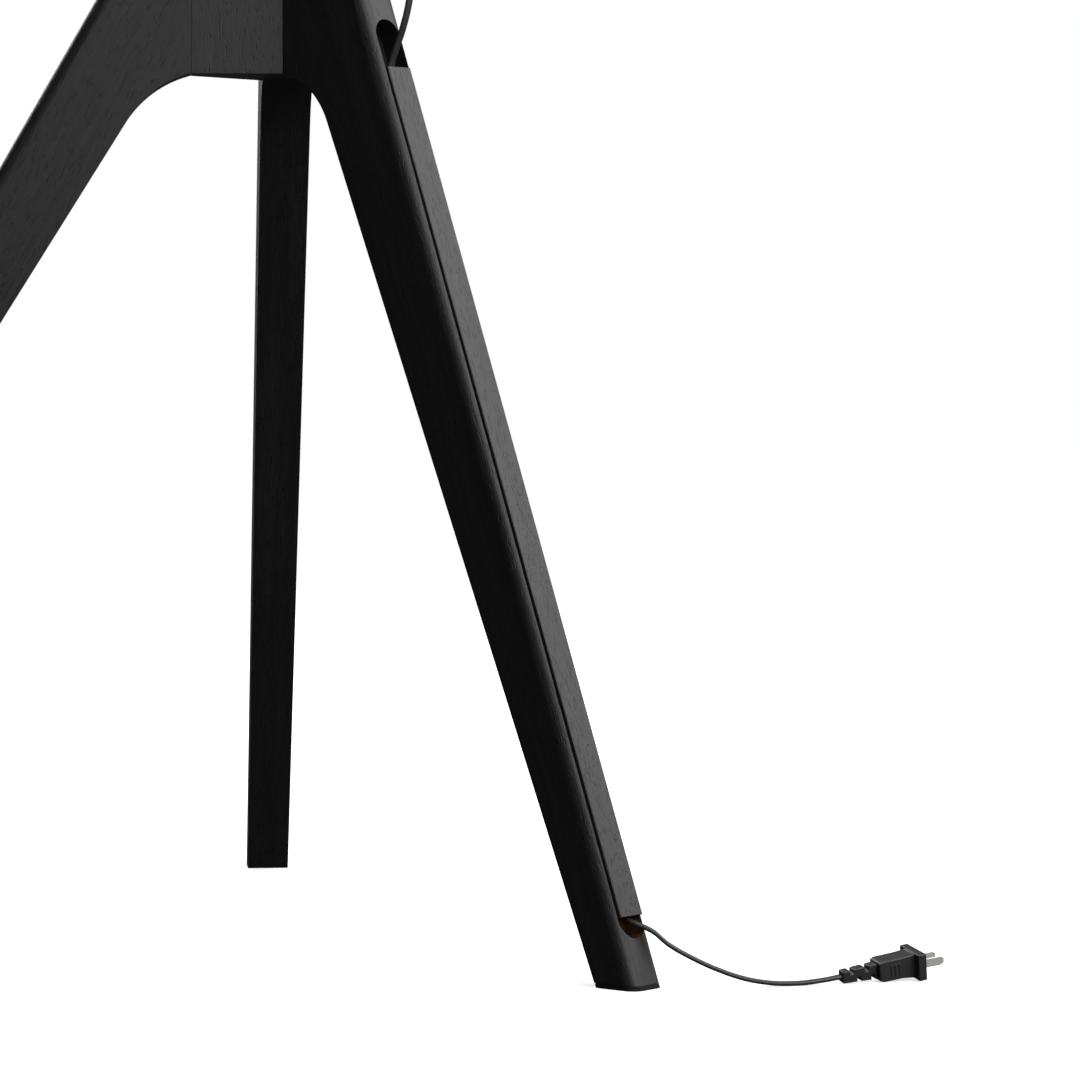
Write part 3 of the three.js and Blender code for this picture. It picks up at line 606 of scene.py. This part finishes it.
# ---------------------------------------------------------------- everything else
def finish_base_metal():
    coat = powder_coat("black_coat_base")
    zinc = brushed_steel("zinc_fasteners", (0, 0, 1))
    refine("mast_flange", "stand", coat, 0.5 * MM)
    refine("outer_mast_tube", "stand", coat, 0.4 * MM)
    for i in range(1, 5):
        refine(f"mast_flange_screw_{i}", "stand", zinc, 0.2 * MM)
    for i in range(1, 4):
        paint_node(f"cover_clip_{i}", zinc)
        paint_node(f"cover_clip_screw_{i}", zinc)


def finish_hidden_pieces():
    pin = raw_wood("dowel_beech", (0, 0, 1), BEECH)
    bush = nylon("natural_nylon")
    for leg in LEGS:
        for i in range(1, 4):
            paint_node(f"{leg}_dowel_{i}", pin)
    paint_node("mast_guide_bush", bush)
    paint_node("inner_mast_foot_bush", bush)


def finish_mast():
    plastic = moulded_plastic("black_nylon")
    steel = brushed_steel("brushed_tube", (0, 0, 1))
    refine("cord_grommet", "stand", rubber("black_rubber_grommet"), 0.6 * MM)
    refine("mast_collar", "stand", plastic, 1.2 * MM, 3)
    refine("clamp_knob", "clamp", plastic, 1.4 * MM, 3)
    refine("clamp_screw", "clamp", steel, 0.3 * MM)
    refine("inner_mast_tube", "inner_mast", steel, 0.4 * MM)


def finish_head():
    coat = powder_coat("black_coat_head")
    zinc = brushed_steel("zinc_head", (1, 0, 0))
    refine("swivel_head", "head", coat, 1.2 * MM, 3)
    refine("tilt_bracket", "plate", coat, 0.5 * MM)
    refine("mounting_plate", "plate", coat, 0.5 * MM)
    refine("tilt_bolt", "plate", zinc, 0.5 * MM)
    refine("tilt_nut", "plate", zinc, 0.4 * MM)
    for i in range(1, 5):
        refine(f"bracket_rivet_{i}", "plate", zinc, 0.2 * MM)


# ---------------------------------------------------------------- floor and light
FLOOR_HALF = 9.0
AIM = Vector((0, 0.1, 0.45))  # the middle of the stand, where the softboxes point
SPOT_AIM = Vector((0.06, -0.06, 0.74))
SPOT_PLACE = Vector((2.2, 2.4, 1.5))
SPOT_POWER = 165
SPOT_ANGLE = math.radians(8)
FILL_STRENGTH = 0.05


def add_floor():
    """A pale floor whose glow grows away from the stand, until it is as white as the backdrop."""
    bm = bmesh.new()
    half = FLOOR_HALF
    corners = [(-half, -half), (half, -half), (half, half), (-half, half)]
    bm.faces.new([bm.verts.new((x, y, 0)) for x, y in corners])
    mesh = bpy.data.meshes.new("floor")
    bm.to_mesh(mesh)
    bm.free()
    floor = bpy.data.objects.new("floor", mesh)
    bpy.context.scene.collection.objects.link(floor)
    paint = Paint("pale_floor", specular=0.1)
    paint.set("Roughness", 0.9)
    haze = paint.noise(1.5, detail=1)
    paint.colour(paint.ramp(haze, [(0.3, 0.80), (0.7, 0.82)]))
    distance = paint.combine("MULTIPLY", paint.distance(), 0.5)
    glow = paint.ramp(distance, [(0.25, 0.62), (0.9, 1.0)])
    paint.link(glow, paint.shader.inputs["Emission Color"])
    paint.set("Emission Strength", 1.0)
    mesh.materials.append(paint.material)
    floor.visible_diffuse = False
    floor.visible_glossy = False


def add_softbox(name, azimuth, elevation, distance, size, power):
    """A large area light aimed at the middle of the stand; azimuth 0 is +X, and 90 is +Y."""
    turn, rise = math.radians(azimuth), math.radians(elevation)
    way = Vector((math.cos(turn) * math.cos(rise), math.sin(turn) * math.cos(rise), math.sin(rise)))
    data = bpy.data.lights.new(name, "AREA")
    data.shape = "RECTANGLE"
    data.size, data.size_y = size
    data.energy = power
    light = bpy.data.objects.new(name, data)
    light.location = AIM + way * distance
    light.rotation_euler = (-way).to_track_quat("-Z", "Y").to_euler()
    bpy.context.scene.collection.objects.link(light)


def add_hub_spot():
    """A soft pool of light on the hub, from above the camera."""
    data = bpy.data.lights.new("hub_spot", "SPOT")
    data.energy = SPOT_POWER
    data.spot_size = SPOT_ANGLE
    data.spot_blend = 1.0
    data.shadow_soft_size = 0.35
    light = bpy.data.objects.new("hub_spot", data)
    light.location = SPOT_PLACE
    light.rotation_euler = (SPOT_AIM - SPOT_PLACE).to_track_quat("-Z", "Y").to_euler()
    bpy.context.scene.collection.objects.link(light)


def add_world():
    """A white backdrop for the camera, and only a weak grey fill for everything else."""
    world = bpy.data.worlds.new("studio")
    world.use_nodes = True
    nodes, links = world.node_tree.nodes, world.node_tree.links
    fill = nodes["Background"]
    fill.inputs["Color"].default_value = (1, 1, 1, 1)
    fill.inputs["Strength"].default_value = FILL_STRENGTH
    backdrop = nodes.new("ShaderNodeBackground")
    backdrop.inputs["Color"].default_value = (1, 1, 1, 1)
    backdrop.inputs["Strength"].default_value = 1.0
    ray = nodes.new("ShaderNodeLightPath")
    mix = nodes.new("ShaderNodeMixShader")
    links.new(ray.outputs["Is Camera Ray"], mix.inputs["Fac"])
    links.new(fill.outputs["Background"], mix.inputs[1])
    links.new(backdrop.outputs["Background"], mix.inputs[2])
    links.new(mix.outputs["Shader"], nodes["World Output"].inputs["Surface"])
    bpy.context.scene.world = world


def add_stage():
    add_floor()
    add_world()
    add_softbox("key_softbox", 146, 26, distance=3.4, size=(2.0, 2.6), power=60)
    add_softbox("side_softbox", 84, 29, distance=3.4, size=(2.6, 2.4), power=92)
    add_softbox("near_softbox", 48, 20, distance=3.4, size=(1.6, 1.6), power=3)
    add_softbox("front_softbox", -108, 28, distance=3.6, size=(2.2, 2.2), power=80)
    add_hub_spot()
    add_softbox("top_softbox", 135, 66, distance=3.6, size=(3.0, 3.0), power=50)
    bpy.context.scene.view_settings.view_transform = "Standard"


# ---------------------------------------------------------------- the scene
add_camera()
pvc = moulded_plastic("charcoal_pvc", shades=(0.032, 0.042), grain=0.5 * MM, roughness=(0.34, 0.48))
cord, cord_path, cord_length = make_cord(pvc)
plug_pieces = make_plug(pvc, nickel("nickel_blades"))
finish_wood()
finish_pads()
finish_base_metal()
finish_hidden_pieces()
finish_mast()
finish_head()
add_stage()
